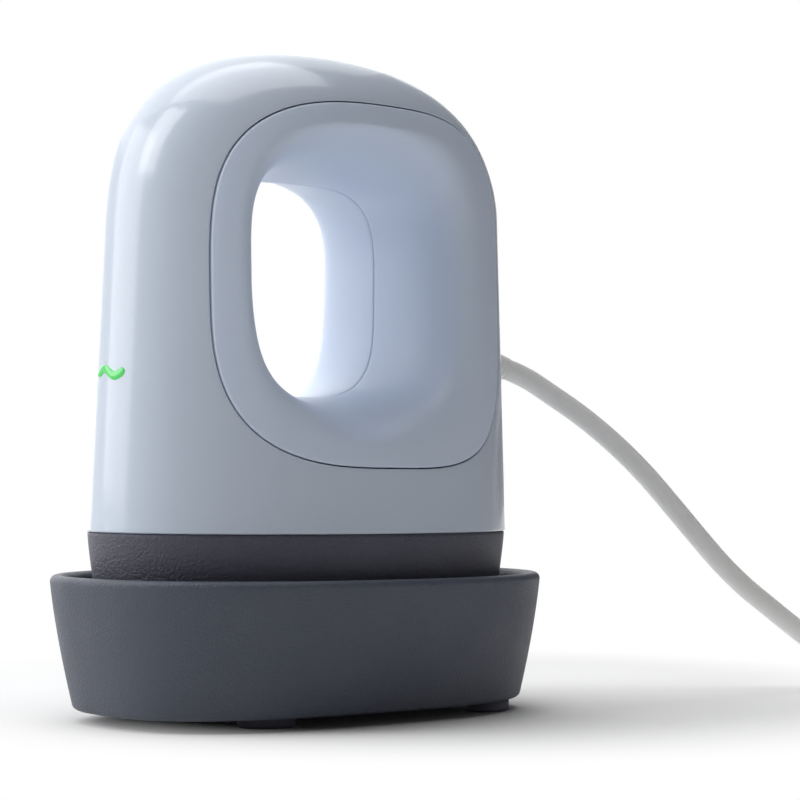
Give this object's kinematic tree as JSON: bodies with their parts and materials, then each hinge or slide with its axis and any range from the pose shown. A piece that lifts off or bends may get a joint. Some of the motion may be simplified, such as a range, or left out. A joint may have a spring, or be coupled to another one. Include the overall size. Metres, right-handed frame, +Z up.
{
  "type": "mini handheld heat press",
  "caption": "Small handheld heat press with an arched pale shell, a hand hole lined by two smooth grips, a dark skirt and heat plate, standing in its own insulated resting tray",
  "frame": {"origin": "on the surface that the feet stand on, under the middle of the resting tray", "axes": "+Z up; +X from the front with the heat indicator to the rear where the cord leaves; Y across the press, which is symmetric from side to side"},
  "size_m": [0.2495, 0.1223, 0.1379],
  "materials": {
    "shell_gloss": "glossy injection-moulded plastic, pale blue-grey",
    "insert_satin": "satin moulded plastic, pale blue-grey",
    "skirt_plastic": "matte heat-resistant plastic with a fine leathery texture, dark grey",
    "plate_coating": "cast aluminium with a dark non-stick coating",
    "bright_steel": "plain bright steel",
    "pad_fibre": "pressed ceramic fibre, off-white",
    "fuse_body": "lacquered metal can",
    "sensor_resin": "dipped resin",
    "frame_nylon": "glass-filled nylon, black",
    "board_laminate": "glass-epoxy laminate, green",
    "board_plastic": "moulded component cases",
    "led_resin": "clear tinted resin",
    "lens_green": "translucent light guide, lit green",
    "button_plastic": "glossy moulded plastic, pale blue-grey",
    "bezel_plastic": "glossy moulded plastic, one shade darker than the shell",
    "cord_vinyl": "soft vinyl, off-white",
    "tray_plastic": "matte heat-resistant plastic with a fine texture, slate grey",
    "rest_silicone": "heat-resistant silicone, grey",
    "foot_rubber": "rubber, black",
    "tie_rubber": "soft strap, black",
    "plug_vinyl": "moulded vinyl, off-white",
    "blade_metal": "nickel-plated brass"
  },
  "bodies": {
    "base": {"base_tray": "tray_plastic", "plate_rest": "rest_silicone", "feet": "foot_rubber", "cord_run": "cord_vinyl", "cord_coil": "cord_vinyl", "cord_tail": "cord_vinyl", "coil_tie": "tie_rubber", "plug_body": "plug_vinyl", "plug_blades": "blade_metal"},
    "press": {"outer_shell": "shell_gloss", "grip_insert_left": "insert_satin", "grip_insert_right": "insert_satin", "skirt": "skirt_plastic", "heat_plate": "plate_coating", "heating_element": "bright_steel", "element_clamp": "bright_steel", "insulation_pad": "pad_fibre", "thermal_fuse": "fuse_body", "thermistor": "sensor_resin", "chassis": "frame_nylon", "plate_screws": "bright_steel", "control_board": "board_laminate", "board_parts": "board_plastic", "led_board": "board_laminate", "led": "led_resin", "indicator_lens": "lens_green", "button_bezel": "bezel_plastic", "button_switch": "frame_nylon", "strain_relief": "cord_vinyl", "cord_clamp": "frame_nylon", "clamp_screws": "bright_steel"},
    "button": {"power_button": "button_plastic"}
  },
  "joints": [
    {"name": "press_lift", "type": "slide", "parent": "base", "child": "press", "axis": [0, 0, 1], "range_m": [0, 0.06]},
    {"name": "button_press", "type": "slide", "parent": "press", "child": "button", "axis": [-1, 0, 0], "range_m": [0, 0.0008], "stiffness_N_per_m": 1200, "springref_m": -0.0002}
  ]
}
